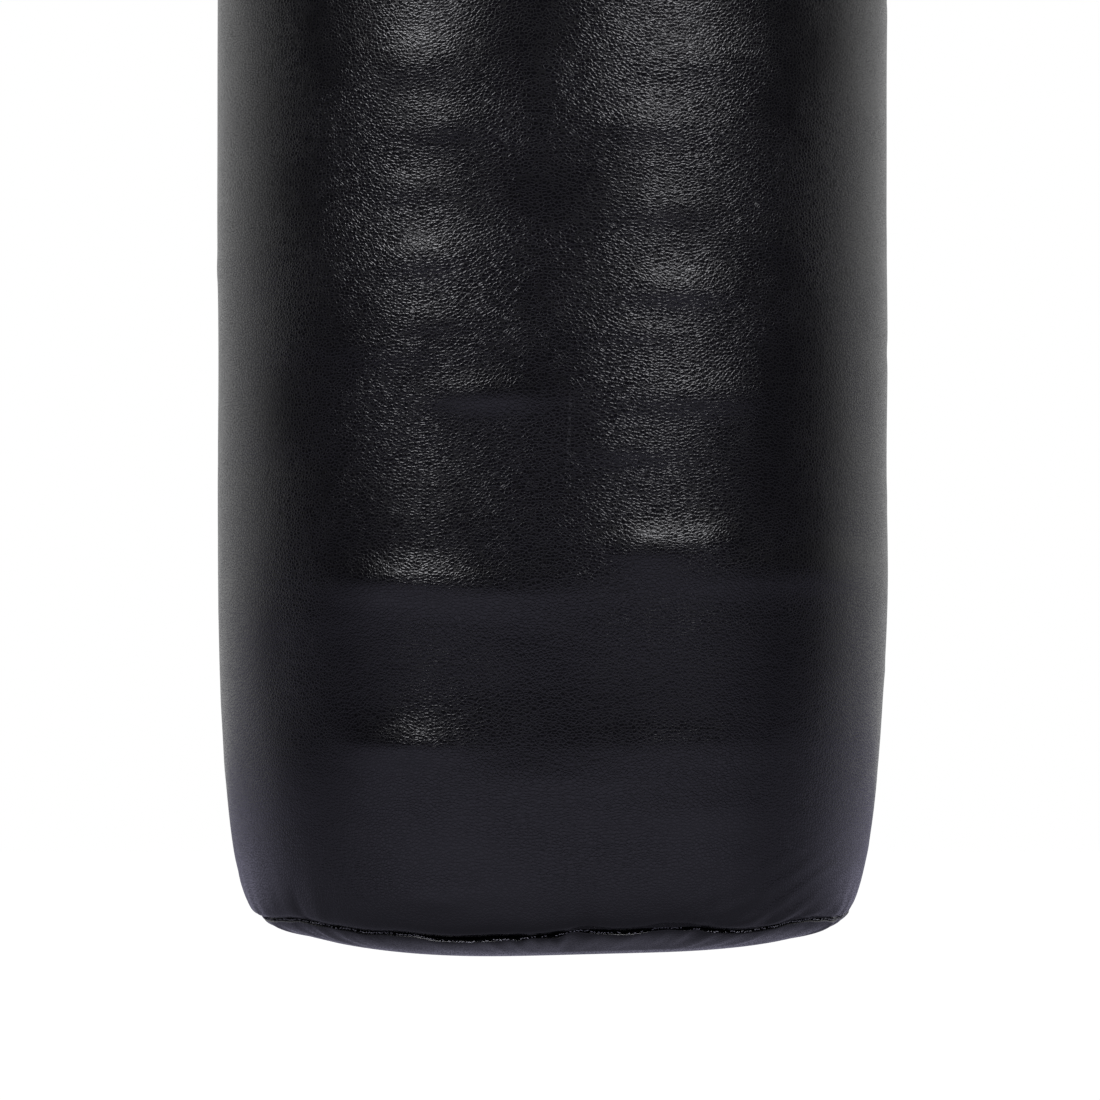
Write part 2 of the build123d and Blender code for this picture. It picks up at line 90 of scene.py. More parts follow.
def turned(name, loop, columns, tips=()):
    # A surface turned about the bag's axis.
    # loop holds a radius and a height for each row, as numbers or arrays.
    # Without tips the last row joins the first; with two, each end is closed at that height on the axis.
    rad = np.radians(around(columns))
    flat = np.ones(columns)
    rows = [np.stack([r * flat * np.sin(rad), -r * flat * np.cos(rad), z * flat], axis=-1) for r, z in loop]
    verts = np.concatenate(rows)
    faces = ringFaces(len(loop), columns, closed=not tips)
    if tips:
        last = len(verts)
        verts = np.vstack([verts] + [[[0, 0, z]] for z in tips])
        foot = (len(loop) - 1) * columns
        for c in range(columns):
            n = (c + 1) % columns
            faces.append([n, c, last])
            faces.append([foot + c, foot + n, last + 1])
    return addMesh(name, verts.tolist(), faces)


def bump(angle, z, atAngle, atZ, spreadAngle, spreadZ):
    # A soft hill on the bag's wall: angles in degrees from the front, heights and spreads in metres.
    away = (angle - atAngle + 180) % 360 - 180
    return np.exp(-(away / spreadAngle) ** 2 - ((z - atZ) / spreadZ) ** 2)


class Signal:
    # One value in a material; sums and products of signals add their Math nodes.
    def __init__(self, nodes, socket):
        self.nodes = nodes
        self.socket = socket

    def math(self, operation, *others, clamp=False):
        inputs = dict(enumerate((self, *others)))
        return self.nodes.node("Math", {"operation": operation, "use_clamp": clamp}, inputs)

    def __add__(self, other):
        return self.math("ADD", other)

    def __radd__(self, other):
        return self.math("ADD", other)

    def __sub__(self, other):
        return self.math("SUBTRACT", other)

    def __rsub__(self, other):
        return self.nodes.node("Math", {"operation": "SUBTRACT"}, {0: other, 1: self})

    def __mul__(self, other):
        return self.math("MULTIPLY", other)

    def __rmul__(self, other):
        return self.math("MULTIPLY", other)

    def __abs__(self):
        return self.math("ABSOLUTE")

    def clamped(self):
        return self.math("ADD", 0.0, clamp=True)

    def remap(self, low, high, toLow=0.0, toHigh=1.0):
        # Smooth step between two levels.
        return self.nodes.node("MapRange", {"interpolation_type": "SMOOTHSTEP"},
                                {0: self, 1: low, 2: high, 3: toLow, 4: toHigh})


class NodeTree:
    # The nodes of a material or of the world around it.
    def __init__(self, tree):
        self.tree = tree

    def node(self, kind, settings=None, inputs=None, output=0):
        made = self.tree.nodes.new("ShaderNode" + kind)
        for name, value in (settings or {}).items():
            setattr(made, name, value)
        for key, value in (inputs or {}).items():
            self.feed(made.inputs[key], value)
        return Signal(self, made.outputs[output])

    def parts(self, vector):
        # The three numbers of a vector.
        split = self.node("SeparateXYZ", None, {0: vector}).socket.node
        return [Signal(self, split.outputs[i]) for i in range(3)]

    def feed(self, socket, value):
        if isinstance(value, Signal):
            self.tree.links.new(value.socket, socket)
        else:
            socket.default_value = (*value, 1) if socket.type == "RGBA" and len(value) == 3 else value

    def place(self, scale=(1, 1, 1), offset=(0, 0, 0)):
        spot = self.node("TexCoord", output="Object")
        return self.node("Mapping", inputs={"Vector": spot, "Scale": scale, "Location": offset})

    def noise(self, place, scale, detail=2.0, roughness=0.5, output=0):
        inputs = {"Vector": place, "Scale": scale, "Detail": detail, "Roughness": roughness}
        return self.node("TexNoise", None, inputs, output)

    def cells(self, place, scale, feature="F1", output=0):
        inputs = {"Vector": place, "Scale": scale}
        return self.node("TexVoronoi", {"feature": feature}, inputs, output)

    def mixColour(self, low, high, factor):
        return self.node("Mix", {"data_type": "RGBA"}, {"Factor": factor, 6: low, 7: high}, 2)

    def vector(self, operation, first, second):
        return self.node("VectorMath", {"operation": operation}, {0: first, 1: second})

    def woven(self):
        # The places across and along a band, as its mesh holds them.
        settings = {"attribute_type": "GEOMETRY", "attribute_name": "weave"}
        return self.parts(self.node("Attribute", settings, output="Vector"))[:2]


class Finish(NodeTree):
    # A material with one Principled shader; values all over the surface are set on its own sockets.
    def __init__(self, name, **surface):
        self.material = bpy.data.materials.new(name)
        self.material.use_nodes = True
        super().__init__(self.material.node_tree)
        self.shader = next(n for n in self.tree.nodes if n.type == "BSDF_PRINCIPLED")
        for socket, value in surface.items():
            self.shader.inputs[socket.replace("_", " ")].default_value = value

    def use(self, **signals):
        for socket, signal in signals.items():
            self.feed(self.shader.inputs[socket.replace("_", " ")], signal)

    def bumped(self, height, distance):
        return self.node("Bump", None, {"Height": height, "Distance": distance, "Strength": 1.0})


def dress(piece, finish):
    piece.data.materials.clear()
    piece.data.materials.append(finish.material)


leather = {
    "pebble": 0.0019,        # one grain cell, metres
    "pebbleDepth": 0.000112,
    "wrinkle": 0.011,
    "tint": (0.0042, 0.0040, 0.0050),
    "creaseShadeTint": (0.0012, 0.0012, 0.0015),
    "wornTint": (0.0065, 0.0064, 0.0080),
    "roughness": 0.17,
    "scuffTint": (0.03, 0.03, 0.032),
    "scuffAt": 0.008,        # how far right of the middle the rub mark stands
    "scuffFrom": 0.225,      # its lower end above the seam
    "scuffTo": 0.27,         # and its upper end
    "smoothBelow": 0.1,      # the grain is shallower below this height above the seam
    "fullAbove": 0.34,       # and full above this one
}


def makeLeather(name, flow=(1.0, 1.0, 1.25), scuff=True, seed=0.0):
    finish = Finish(name, IOR=1.5)
    base = finish.place(offset=(seed, seed, seed))
    # The grain wanders a little, so its cells aren't all alike.
    sway = finish.vector("MULTIPLY", finish.noise(base, 95.0, 2.0, output=1), (0.0016, 0.0016, 0.0016))
    grain = finish.vector("MULTIPLY", finish.vector("ADD", base, sway), flow)
    scale = 1 / leather["pebble"]
    edge = finish.cells(grain, scale, "DISTANCE_TO_EDGE")
    dome = finish.cells(grain, scale, "F1")
    pebble = edge.remap(0.0, 0.22) * 0.75 + (1 - dome.clamped()) * 0.35
    fine = finish.noise(grain, scale * 2.7, 2.0, 0.6)
    wrinkle = finish.noise(finish.vector("MULTIPLY", base, (1, 1, 2.2)), 1 / leather["wrinkle"], 3.0, 0.55)
    patch = finish.noise(base, 14.0, 2.0)
    # The leather is stretched smoother towards the bottom.
    x, y, up = finish.parts(finish.node("TexCoord", output="Object"))
    low = up.remap(seamZ + leather["smoothBelow"], seamZ + leather["fullAbove"], 0.7, 1.0)
    depth = patch.remap(0.35, 0.62, 0.6, 1.0) * low
    height = (pebble + fine * 0.25) * depth + wrinkle * 0.9
    finish.use(Normal=finish.bumped(height, leather["pebbleDepth"]))
    crease = 1 - edge.remap(0.0, 0.16)
    # Painted shade: the base colour darkens in the creases between the grain's cells.
    colour = finish.mixColour(leather["tint"], leather["creaseShadeTint"], crease * 0.8)
    worn = finish.noise(base, 38.0, 4.0, 0.6).remap(0.58, 0.75) * 0.25
    colour = finish.mixColour(colour, leather["wornTint"], worn)
    if scuff:
        # A faint upright rub mark on the front.
        wander = finish.noise(base, 22.0, 2.0)
        line = 1 - abs(x - leather["scuffAt"] - (wander - 0.5) * 0.006).remap(0.0003, 0.0011)
        start, end = seamZ + leather["scuffFrom"], seamZ + leather["scuffTo"]
        span = up.remap(start, start + 0.01) * (1 - up.remap(end - 0.015, end))
        front = 1 - y.remap(-0.1, -0.05)
        speck = finish.noise(base, 700.0, 2.0).remap(0.45, 0.6)
        mark = (line * span * front * speck * 0.8).clamped()
        colour = finish.mixColour(colour, leather["scuffTint"], mark)
    finish.use(Base_Color=colour)
    rough = crease * 0.2 + (finish.noise(base, 60.0, 3.0) - 0.5) * 0.12 + leather["roughness"]
    finish.use(Roughness=rough.clamped())
    return finish


sideLeather = makeLeather("sideLeather")
endLeather = makeLeather("endLeather", flow=(1, 1, 1), scuff=False, seed=3.1)


def makeFoam():
    finish = Finish("openFoam", Roughness=0.95)
    cell = finish.cells(finish.place(), 900.0)
    finish.use(Base_Color=finish.mixColour((0.52, 0.5, 0.44), (0.33, 0.31, 0.27), cell.remap(0.1, 0.6)))
    finish.use(Normal=finish.bumped(cell, 0.0005))
    return finish


def makeLining():
    finish = Finish("liningCloth", Roughness=0.85)
    x, y, up = finish.parts(finish.place())
    picks = (up * 5200.0).math("SINE")
    slub = finish.noise(finish.place(scale=(1, 1, 14)), 30.0, 3.0)
    shade = (picks * 0.3 + slub).remap(0.2, 0.9)
    finish.use(Base_Color=finish.mixColour((0.05, 0.05, 0.055), (0.12, 0.12, 0.125), shade))
    finish.use(Normal=finish.bumped(picks + slub, 0.0002))
    return finish


def makeTextileFill():
    finish = Finish("shreddedTextile", Roughness=1.0)
    spot = finish.place()
    scrap = finish.cells(spot, 55.0, output=1)
    fibre = finish.noise(finish.place(scale=(1, 1, 5)), 420.0, 4.0, 0.7)
    tone = finish.mixColour((0.10, 0.11, 0.14), (0.36, 0.33, 0.30), finish.parts(scrap)[0])
    finish.use(Base_Color=finish.mixColour(tone, (0.05, 0.05, 0.06), fibre.remap(0.5, 0.8) * 0.6))
    finish.use(Normal=finish.bumped(fibre + finish.cells(spot, 55.0), 0.003))
    return finish


webbing = {
    "rib": 0.0021,       # across the band
    "pick": 0.0016,      # along it
    "depth": 0.00035,
    "thread": (0.022, 0.022, 0.025),
    "shadow": (0.004, 0.004, 0.005),
}


def makeWoven(name, fineness=1.0):
    finish = Finish(name, Roughness=0.62, Sheen_Weight=0.15)
    across, along = finish.woven()
    rib = (across * (pi / webbing["rib"] * fineness)).math("SINE")
    slope = abs((across * (4 * pi / webbing["rib"] / 10 * fineness)).math("SINE")) * 2.0
    pick = (along * (2 * pi / webbing["pick"] * fineness) + rib.math("SIGN") * 1.57 + slope).math("SINE")
    height = abs(rib) * 0.55 + pick * 0.3 * abs(rib)
    fuzz = finish.noise(finish.place(), 1800.0, 3.0, 0.7)
    shade = (height + fuzz * 0.35).remap(0.1, 0.95)
    finish.use(Base_Color=finish.mixColour(webbing["shadow"], webbing["thread"], shade))
    finish.use(Normal=finish.bumped(height + fuzz * 0.3, webbing["depth"] / fineness))
    return finish


def makeThread(name, tint, shadow):
    finish = Finish(name, Roughness=0.55)
    ply = finish.noise(finish.place(), 2600.0, 2.0, 0.6)
    tone = finish.noise(finish.place(), 260.0, 2.0)
    finish.use(Base_Color=finish.mixColour(shadow, tint, (ply * 0.6 + tone * 0.5).remap(0.35, 0.75)))
    finish.use(Normal=finish.bumped(ply, 0.00012))
    return finish


def makeSteel(name, tint, dull, roughness, wear=0.35, cloud=50.0, cut=(30, 30, 900)):
    # Bare or plated steel: soft clouding, rubbed lines along one direction and a faint skin.
    finish = Finish(name, Metallic=1.0)
    spot = finish.place()
    clouds = finish.noise(spot, cloud, 4.0, 0.6)
    lines = finish.noise(finish.place(scale=cut), 1.0, 3.0, 0.65)
    skin = finish.noise(spot, 1400.0, 2.0)
    nick = finish.noise(spot, 240.0, 3.0, 0.7).remap(0.62, 0.70)
    dulled = (clouds.remap(0.40, 0.72) * 0.7 + nick * wear).clamped()
    finish.use(Base_Color=finish.mixColour(tint, dull, dulled))
    rough = clouds * 0.16 + lines * 0.12 + nick * 0.15 + (roughness - 0.14)
    finish.use(Roughness=rough.clamped())
    finish.use(Normal=finish.bumped(lines * 0.5 + skin * 0.25 - nick * 0.6, 0.00004))
    return finish


def makeNylon():
    finish = Finish("zipNylon", Roughness=0.32, IOR=1.53)
    drawn = finish.noise(finish.place(scale=(1, 4, 1)), 1500.0, 2.0)
    shade = drawn.remap(0.4, 0.7)
    finish.use(Base_Color=finish.mixColour((0.006, 0.006, 0.007), (0.018, 0.018, 0.020), shade))
    finish.use(Normal=finish.bumped(drawn, 0.00003))
    return finish


foamFinish = makeFoam()
liningFinish = makeLining()
textileFinish = makeTextileFill()
webbingFinish = makeWoven("blackWebbing")
tapeFinish = makeWoven("zipTape", 2.4)
paleThread = makeThread("paleThread", (0.40, 0.40, 0.42), (0.12, 0.12, 0.13))
darkThread = makeThread("darkThread", (0.030, 0.030, 0.034), (0.006, 0.006, 0.007))
nickelSteel = makeSteel("nickelSteel", (0.66, 0.65, 0.62), (0.46, 0.45, 0.43), 0.24)
zincSteel = makeSteel("zincSteel", (0.60, 0.62, 0.64), (0.38, 0.40, 0.42), 0.36, 0.5, 90.0)
turnedSteel = makeSteel("turnedSteel", (0.56, 0.56, 0.57), (0.36, 0.36, 0.37), 0.30, 0.3, 40.0,
                        (40, 40, 2600))
groundSteel = makeSteel("groundSteel", (0.70, 0.70, 0.70), (0.52, 0.52, 0.53), 0.17, 0.2, 120.0)
springSteel = makeSteel("springSteel", (0.30, 0.30, 0.32), (0.16, 0.15, 0.15), 0.34, 0.4, 200.0)
zipSteel = makeSteel("zipSteel", (0.10, 0.10, 0.105), (0.045, 0.045, 0.05), 0.30, 0.6, 160.0)
nylonFinish = makeNylon()
print("finishes made")


def dressNodes():
    # The CAD's own hard parts keep their shape and take their metal.
    hardware = {
        "snap_hook_": nickelSteel,
        "clip_": nickelSteel,
        "master_ring": zincSteel,
        "chain_": zincSteel,
        "d_ring_": nickelSteel,
        "swivel_": turnedSteel,
        "swivel_bearing_": groundSteel,
        "swivel_nut": zincSteel,
        "strap_rivets": nickelSteel,
        "rivet_washers": zincSteel,
        "zip_slider": zipSteel,
        "zip_pull": zipSteel,
        "zip_stops": zipSteel,
        "zip_coils": nylonFinish,
        "zip_tapes": tapeFinish,
        "foam_liner": foamFinish,
        "top_pad": foamFinish,
        "bottom_pad": foamFinish,
        "textile_fill": textileFinish,
        "lining": liningFinish,
        "top_seam_allowance": endLeather,
    }
    for start, finish in hardware.items():
        for name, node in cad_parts.items():
            if name.startswith(start):
                dress(node, springSteel if name.endswith("spring") else finish)


dressNodes()
print("hardware dressed")


side = {
    "columns": 400,
    "creases": 110,      # how many faint level creases there are, mostly in the lower half
    "wall": 0.002,
    "shoulder": 0.190,
    "topShoulder": 0.120,
    "hem": 0.0035,       # how far the edge turns in at the bottom seam
    "pinch": (-53, 0.013, 1.3),    # upright, at the left end of the seam: angle, height, depth in mm
    "gather": 0.0005,    # how far the small gathers at both seams stand out
    "slant": 0.0007,     # and the slanting ones at the right end of the seam
    "gatherTall": 0.045,           # how high above the bottom seam they reach
    "topGatherTall": 0.03,
    "settle": 0.0005,    # slow, all-over unevenness
    "deepest": 0.0010,
}

# Long soft ridges and hollows where the stuffing has settled:
# angle, height above the seam, spread in angle and in height, size in mm.
folds = [
    (-26, 0.170, 12, 0.0080, 2.9),
    (-12, 0.166, 9, 0.0070, 1.8),
    (3, 0.169, 10, 0.0060, 0.8),
    (24, 0.174, 14, 0.0080, 1.4),
    (-24, 0.090, 10, 0.0085, 2.9),
    (-2, 0.076, 24, 0.0065, 0.9),
    (-21, 0.018, 9, 0.0075, 1.1),
    (15, 0.187, 7, 0.0085, 2.5),
    (26, 0.190, 6, 0.0080, 1.8),
    (45, 0.176, 18, 0.0080, 1.1),
    (22, 0.090, 24, 0.0080, 1.0),
    (24, 0.058, 18, 0.0070, 0.7),
    (-21, 0.328, 7, 0.0080, 1.5),
    (-24, 0.362, 7, 0.0060, 0.8),
    (-20, 0.297, 8, 0.0060, 0.7),
    (-10, 0.262, 9, 0.0070, 1.6),
    (21, 0.313, 9, 0.0085, 1.8),
    (13, 0.292, 7, 0.0060, 0.8),
    (25, 0.262, 11, 0.0080, 1.2),
    (12, 0.235, 9, 0.0065, 0.9),
    (19, 0.352, 8, 0.0080, 0.8),
    (-22, 0.424, 9, 0.0110, 1.0),
    (-17, 0.392, 8, 0.0080, 0.8),
    (24, 0.424, 9, 0.0090, 0.9),
    (16, 0.392, 9, 0.0080, 0.9),
    (-20, 0.492, 12, 0.0180, 0.9),
    (20, 0.478, 10, 0.0120, 0.9),
    (0, 0.128, 34, 0.018, -1.0),
    (-47, 0.130, 8, 0.030, -2.2),
    (4, 0.225, 30, 0.020, -0.9),
    (4, 0.042, 40, 0.016, -0.8),
    (-90, 0.030, 34, 0.060, 1.5),
    (90, 0.025, 34, 0.060, -1.3),
]


def foldField(angle, z):
    total = np.zeros(np.broadcast(angle, z).shape)
    for atAngle, rise, spreadAngle, spreadZ, size in folds:
        # A ridge falls off faster below its crest than above it.
        spread = spreadZ * np.where((z > seamZ + rise) | (size < 0), 1.2, 0.8)
        total = total + size / 1000 * bump(angle, z, atAngle, seamZ + rise, spreadAngle, spread)
    # Hollows stay shallow, because the stuffing lies right behind the leather.
    deepest, ease = -side["deepest"], side["deepest"]
    return 0.5 * (total + deepest + np.sqrt((total - deepest) ** 2 + ease ** 2)) - 0.5 * ease * 0.414


def creaseField(angle, z):
    draw = np.random.default_rng(11)
    total = np.zeros(np.broadcast(angle, z).shape)
    for _ in range(side["creases"]):
        at = draw.uniform(-180, 180)
        rise = 0.015 + 0.62 * draw.uniform(0, 1) ** 1.4
        wide, tall = draw.uniform(7, 24), draw.uniform(0.0038, 0.0072)
        tilt, size = draw.uniform(-0.0004, 0.0004), draw.uniform(-0.45, 0.45) / 1000
        aside = (angle - at + 180) % 360 - 180
        total = total + size * bump(aside, z - tilt * aside, 0, seamZ + rise, wide, tall)
    return total


def slowField(angle, z):
    # Repeatable slow waves all over, from a few sines with fixed phases.
    draw = np.random.default_rng(7)
    total = np.zeros(np.broadcast(angle, z).shape)
    for _ in range(26):
        turns = draw.integers(1, 7)
        upward = draw.uniform(8, 60)
        phase = draw.uniform(0, 2 * pi, 2)
        share = draw.uniform(0.4, 1.0) / (1 + turns / 3)
        total = total + share * np.sin(np.radians(angle) * turns + phase[0]) * np.sin(z * upward + phase[1])
    return total * side["settle"] * 0.5


def swell(angle, at, spread):
    # A soft hill round the bag, the same at every height.
    return bump(angle, 0, at, 0, spread, 1)


def seamWave(angle):
    # How far the bottom seam rises and dips round the bag.
    wave = 0.0020 * swell(angle, -55, 9) - 0.0014 * swell(angle, -19, 7)
    wave = wave + 0.0030 * swell(angle, 6, 6) + 0.0040 * swell(angle, 22, 9)
    wave = wave + 0.0016 * swell(angle, 52, 9) - 0.0008 * swell(angle, -36, 5)
    back = 1 - swell(angle, 0, 75)
    rad = np.radians(angle)
    return wave + back * (0.0013 * np.sin(rad * 7 + 0.6) + 0.0009 * np.sin(rad * 12 + 2.0))


def pucker(angle, pitch=5.2):
    # Small gathers along a sewn edge, uneven in size and spacing.
    rad = np.radians(angle)
    count = round(360 / pitch)
    wander = 2.6 * np.sin(rad * 5 + 1.0) + 1.7 * np.sin(rad * 13 + 0.4)
    second = np.sin(rad * round(count * 0.61) - 2.0 * np.sin(rad * 7 + 2.0))
    size = np.clip(0.45 + 0.55 * np.sin(rad * 9 + 2.2) + 0.4 * np.sin(rad * 4 + 0.7), 0.05, 1)
    return (0.6 * np.sin(rad * count + wander) + 0.5 * second) * size


def wallOutline(t):
    # The outer outline from the bottom seam (t = 0) to the top seam (t = 1): radius and height.
    low, high = side["shoulder"], side["topShoulder"]
    straight = topZ - seamZ - low - high
    lowArc, highArc = low * 1.02, high * 1.02
    total = lowArc + straight + highArc
    s = t * total
    if s < lowArc:
        a = s / lowArc * pi / 2
        return seamRadius + (bagRadius - seamRadius) * sin(a), seamZ + low * (1 - cos(a))
    if s < lowArc + straight:
        return bagRadius, seamZ + low + s - lowArc
    a = (s - lowArc - straight) / highArc * pi / 2
    return topRadius + (bagRadius - topRadius) * cos(a), topZ - high * (1 - sin(a))


def wallRow(angle, t):
    # One row of the leather wall with its folds, puckers and the seam's rise and fall.
    radius, z = wallOutline(t)
    nearSeam = max(0.0, 1 - (z - seamZ) / side["gatherTall"])
    nearTop = max(0.0, 1 - (topZ - z) / side["topGatherTall"])
    lift = foldField(angle, z) + creaseField(angle, z)
    lift = lift + slowField(angle, z) * (1 - max(nearSeam, nearTop) * 0.6)
    lift = lift + side["gather"] * pucker(angle) * nearSeam ** 2
    lift = lift + side["gather"] * pucker(angle + 3, 6.0) * nearTop ** 2
    # Slanting gathers run up from the seam towards the right end.
    slant = np.sin(np.radians(angle - (z - seamZ) * 900) * 34)
    lift = lift + side["slant"] * slant * bump(angle, z, 48, seamZ, 15, 0.028)
    at, tall, depth = side["pinch"]
    lift = lift - depth / 1000 * bump(angle, z, at, seamZ, 1.4, tall)
    return radius + lift, z + seamWave(angle) * nearSeam ** 1.5


def makeSide():
    columns = side["columns"]
    angle = around(columns)
    # Rows bunch up near both seams, where the leather puckers.
    steps = [v * 0.12 for v in (0.0, 0.004, 0.009, 0.015, 0.022, 0.03, 0.04, 0.05, 0.062, 0.075, 0.09)]
    steps += list(np.linspace(steps[-1], 0.03, 10)[1:])
    steps += list(np.linspace(0.03, 0.52, 116)[1:])
    steps += list(np.linspace(0.52, 0.97, 46)[1:])
    steps += [0.976, 0.982, 0.987, 0.991, 0.995, 0.998, 1.0]
    rows = [wallRow(angle, float(t)) for t in steps]
    hem = side["hem"]
    # The bottom edge rolls under and turns up inside; the top edge turns in below the top panel.
    wave = seamWave(angle)
    ruffle = side["gather"] * pucker(angle)
    under = [(-0.0006, -0.0006), (-0.0018, -0.0006), (-0.0028, 0.0002), (-hem, 0.0016), (-hem, 0.004)]
    foot = [(seamRadius + dr + ruffle, seamZ + dz + wave) for dr, dz in under]
    head = [(topRadius - 0.0015, topZ + 0.0004), (topRadius - 0.003, topZ - 0.0006)]
    inner = []
    for t in np.linspace(0.985, 0.02, 14):
        radius, z = wallOutline(float(t))
        inner.append((radius - side["wall"], z))
    piece = turned("bag_side", foot[::-1] + rows + head + inner, columns)
    dress(piece, sideLeather)
    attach(piece, "bag")
    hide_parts("side_casing")


makeSide()
print("side made")


bottom = {
    "columns": 640,
    "rimGap": 0.0012,    # how far inside the hem the panel's rim lies
    "thick": 0.0016,
    "ear": (88, 5),      # a small folded ear at the right end of the seam: angle, spread
    "earOut": 0.0042,
    "gather": 0.0013,
}


def earShare(angle):
    return swell(angle, *bottom["ear"])


def grooveGap(angle):
    # How far the groove opens between the hem and the bottom panel.
    gap = 0.0002 + 0.0018 * swell(angle, -14, 11) + 0.0010 * swell(angle, 14, 7)
    gap = gap + 0.0006 * swell(angle, 30, 8) + 0.00025 * np.sin(np.radians(angle) * 47 + 1.0)
    back = 1 - swell(angle, 0, 75)
    return gap + back * 0.0008 * (1 + np.sin(np.radians(angle) * 9 + 2.0)) * 0.5


def bottomRow(angle, a, inset=0.0):
    # One row of the bottom panel, a degrees down from the rim, brought in by inset.
    near = max(0.0, 1 - a / 34)
    gather = bottom["gather"] * pucker(angle, 5.2) * near * (1 - near) * 2.6
    gather = gather + 0.0007 * pucker(angle + 1.7, 9.5) * near
    sag = 0.0012 * np.sin(np.radians(angle) * 3 + 0.8) * sin(radians(2 * a))
    ear = earShare(angle) * near ** 3
    radius = (seamRadius - bottom["rimGap"] - inset) * cos(radians(a)) ** 0.92 + bottom["earOut"] * ear
    drop = (bulge - inset) * sin(radians(a))
    rim = (0.0008 + grooveGap(angle)) * near ** 2
    return radius, seamZ - drop + seamWave(angle) * near ** 0.6 + gather + sag - rim + 0.002 * ear


def makeBottom():
    columns = bottom["columns"]
    angle = around(columns)
    rim = seamRadius - bottom["rimGap"]
    lip = seamZ + seamWave(angle) - grooveGap(angle)
    # The rim rolls in towards the groove.
    ear = bottom["earOut"] * earShare(angle)
    loop = [(rim - 0.0045, seamZ + seamWave(angle) + 0.003), (rim - 0.0042, lip + 0.0008),
            (rim - 0.0034, lip - 0.0006), (rim - 0.0018 + ear * 0.6, lip - 0.0012)]
    loop += [bottomRow(angle, a) for a in np.linspace(4, 88, 44)]
    thick = bottom["thick"]
    backs = [(r - 0.0014, z + thick) for r, z in loop[:4]]
    backs += [bottomRow(angle, a, thick) for a in np.linspace(4, 88, 16)]
    ends = (seamZ - bulge, seamZ - bulge + thick)
    piece = turned("bag_bottom", loop[::-1] + backs, columns, tips=ends)
    dress(piece, endLeather)
    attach(piece, "bag")
    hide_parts("bottom_panel")


makeBottom()


def addStitches(name, runs, finish, radius=0.0004, tall=1.0):
    # Small raised threads. Each run gives a thread's middle, direction, outward direction and half length.
    verts, faces = [], []
    sides = 6
    profile = [(-1.0, 0.35), (-0.8, 0.85), (0.0, 1.0), (0.8, 0.85), (1.0, 0.35)]
    turn = [2 * pi * i / sides for i in range(sides)]
    for middle, direction, outward, half in runs:
        middle = Vector(middle)
        direction = Vector(direction).normalized()
        outward = Vector(outward).normalized()
        sideways = direction.cross(outward).normalized()
        first = len(verts)
        for along, wide in profile:
            # Its ends dip into the leather.
            centre = middle + direction * (half * along) + outward * (radius * (0.45 - 1.1 * along * along))
            for a in turn:
                verts.append(centre + (sideways * cos(a) + outward * sin(a) * tall) * (radius * wide))
        for row in range(len(profile) - 1):
            for i in range(sides):
                j = (i + 1) % sides
                lower, upper = first + row * sides, first + (row + 1) * sides
                faces.append([lower + i, lower + j, upper + j, upper + i])
        last = first + (len(profile) - 1) * sides
        faces.append([first + i for i in reversed(range(sides))])
        faces.append([last + i for i in range(sides)])
    piece = addMesh(name, verts, faces)
    dress(piece, finish)
    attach(piece, "bag")
    return piece


def onWall(angleDegrees, radius, z):
    a = radians(angleDegrees)
    return Vector((radius * sin(a), -radius * cos(a), z))


def band(name, rows, width, thick, place, edge=0.0008, across=11):
    # A flat band with rounded edges. place(row, u, v) gives the point u across and v above the band's middle.
    us = np.linspace(-width / 2 + edge, width / 2 - edge, across)
    outline = [(u, thick / 2) for u in us] + [(width / 2, 0.0)]
    outline += [(u, -thick / 2) for u in us[::-1]] + [(-width / 2, 0.0)]
    verts, weave = [], []
    run = 0.0
    for row in rows:
        if verts:
            run += (Vector(place(row, 0.0, 0.0)) - middle).length
        middle = Vector(place(row, 0.0, 0.0))
        for u, v in outline:
            verts.append(place(row, u, v))
            weave.append((u, run, 0.0))
    columns = len(outline)
    faces = ringFaces(len(rows), columns, closed=False)
    faces.append(list(range(columns))[::-1])
    faces.append(list(range(len(verts) - columns, len(verts))))
    return addMesh(name, verts, faces, weave=weave)


def sewSeams():
    # The thread shows as small loops along the lower lip of the bottom groove, and as a tidy row at the top.
    draw = np.random.default_rng(11)
    runs = []
    count = 560
    for i in range(count):
        at = 360 * i / count - 180 + draw.uniform(-0.12, 0.12)
        if draw.uniform() < 0.22:
            continue
        z = seamZ + float(seamWave(at)) - float(grooveGap(at)) - 0.0011 + draw.uniform(-0.00025, 0.00025)
        spot = onWall(at, seamRadius - 0.0016 + 0.0025 * float(earShare(at)), z)
        out = onWall(at, 1.0, 0.25)
        run = onWall(at + 90, 1.0, draw.uniform(-0.6, 0.6))
        runs.append((spot, run, out, draw.uniform(0.00035, 0.00095)))
    addStitches("bottom_seam_thread", runs, paleThread, 0.00026)
    count = 230
    pitch = 360 / count
    inner = topRadius - 0.0045
    runs = [(onWall(i * pitch, inner, topZ + 0.0024), onWall(i * pitch + 90, 1, 0), (0, 0, 1), 0.0016)
            for i in range(count)]
    addStitches("top_seam_thread", runs, darkThread)


sewSeams()


